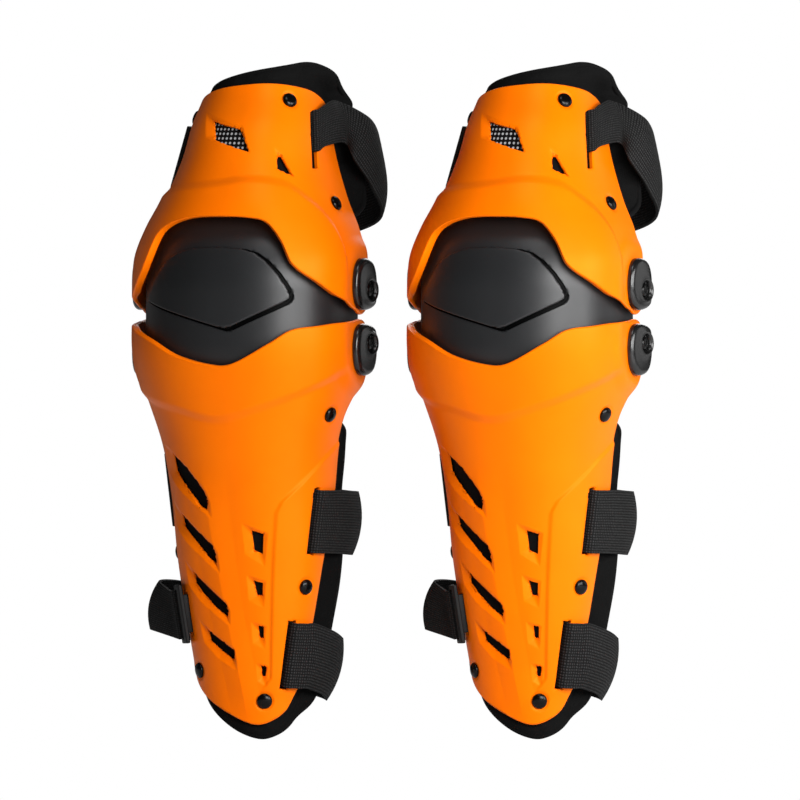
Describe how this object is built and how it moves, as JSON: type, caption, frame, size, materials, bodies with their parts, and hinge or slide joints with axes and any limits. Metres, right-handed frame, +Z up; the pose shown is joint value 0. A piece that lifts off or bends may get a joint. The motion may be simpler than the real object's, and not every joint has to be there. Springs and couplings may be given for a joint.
{
  "type": "hinged knee and shin guards",
  "caption": "Pair of hinged knee and shin guards: vented thigh and shin plates joined by a pivoting knee cup, with foam liners and hook-on elastic straps.",
  "frame": {"origin": "midway between the two guards, level with the knees, on the hinge lines", "axes": "+Z up along the legs, -Y to the front of the knees, X along the hinge lines"},
  "size_m": [0.3932, 0.1956, 0.4797],
  "materials": {
    "orange_plastic": "satin moulded plastic",
    "black_plastic": "satin moulded plastic",
    "cap_plastic": "glossy moulded plastic",
    "foam_fabric": "knitted cloth over foam",
    "elastic_webbing": "ribbed elastic webbing",
    "rivet_steel": "black coated"
  },
  "bodies": {
    "shins": {"left_shin_shell": "orange_plastic", "left_shin_liner": "foam_fabric", "left_lower_left_hinge_cap": "cap_plastic", "left_lower_left_hinge_pin": "rivet_steel", "left_lower_right_hinge_cap": "cap_plastic", "left_lower_right_hinge_pin": "rivet_steel", "left_calf_strap": "elastic_webbing", "left_calf_strap_hook": "cap_plastic", "left_ankle_strap": "elastic_webbing", "left_ankle_strap_hook": "cap_plastic", "left_shin_rivet_upper_left": "rivet_steel", "left_shin_rivet_upper_right": "rivet_steel", "left_shin_rivet_middle_left": "rivet_steel", "left_shin_rivet_middle_right": "rivet_steel", "left_shin_rivet_lower_left": "rivet_steel", "left_shin_rivet_lower_right": "rivet_steel", "right_shin_shell": "orange_plastic", "right_shin_liner": "foam_fabric", "right_lower_left_hinge_cap": "cap_plastic", "right_lower_left_hinge_pin": "rivet_steel", "right_lower_right_hinge_cap": "cap_plastic", "right_lower_right_hinge_pin": "rivet_steel", "right_calf_strap": "elastic_webbing", "right_calf_strap_hook": "cap_plastic", "right_ankle_strap": "elastic_webbing", "right_ankle_strap_hook": "cap_plastic", "right_shin_rivet_upper_left": "rivet_steel", "right_shin_rivet_upper_right": "rivet_steel", "right_shin_rivet_middle_left": "rivet_steel", "right_shin_rivet_middle_right": "rivet_steel", "right_shin_rivet_lower_left": "rivet_steel", "right_shin_rivet_lower_right": "rivet_steel"},
    "left_knee": {"left_knee_cup": "black_plastic", "left_knee_liner": "foam_fabric"},
    "left_thigh": {"left_thigh_shell": "orange_plastic", "left_thigh_liner": "foam_fabric", "left_upper_left_hinge_cap": "cap_plastic", "left_upper_left_hinge_pin": "rivet_steel", "left_upper_right_hinge_cap": "cap_plastic", "left_upper_right_hinge_pin": "rivet_steel", "left_thigh_strap": "elastic_webbing", "left_thigh_strap_hook": "cap_plastic", "left_thigh_rivet_top_left": "rivet_steel", "left_thigh_rivet_top_right": "rivet_steel", "left_thigh_rivet_side_left": "rivet_steel", "left_thigh_rivet_side_right": "rivet_steel"},
    "right_knee": {"right_knee_cup": "black_plastic", "right_knee_liner": "foam_fabric"},
    "right_thigh": {"right_thigh_shell": "orange_plastic", "right_thigh_liner": "foam_fabric", "right_upper_left_hinge_cap": "cap_plastic", "right_upper_left_hinge_pin": "rivet_steel", "right_upper_right_hinge_cap": "cap_plastic", "right_upper_right_hinge_pin": "rivet_steel", "right_thigh_strap": "elastic_webbing", "right_thigh_strap_hook": "cap_plastic", "right_thigh_rivet_top_left": "rivet_steel", "right_thigh_rivet_top_right": "rivet_steel", "right_thigh_rivet_side_left": "rivet_steel", "right_thigh_rivet_side_right": "rivet_steel"}
  },
  "joints": [
    {"name": "left_knee_hinge", "type": "hinge", "parent": "shins", "child": "left_knee", "pos_m": [-0.1045, 0, -0.019], "axis": [1, 0, 0], "range_deg": [-35, 5]},
    {"name": "left_thigh_hinge", "type": "hinge", "parent": "left_knee", "child": "left_thigh", "pos_m": [-0.1045, 0, 0.019], "axis": [1, 0, 0], "range_deg": [-45, 5]},
    {"name": "right_knee_hinge", "type": "hinge", "parent": "shins", "child": "right_knee", "pos_m": [0.1045, 0, -0.019], "axis": [1, 0, 0], "range_deg": [-35, 5]},
    {"name": "right_thigh_hinge", "type": "hinge", "parent": "right_knee", "child": "right_thigh", "pos_m": [0.1045, 0, 0.019], "axis": [1, 0, 0], "range_deg": [-45, 5]}
  ]
}
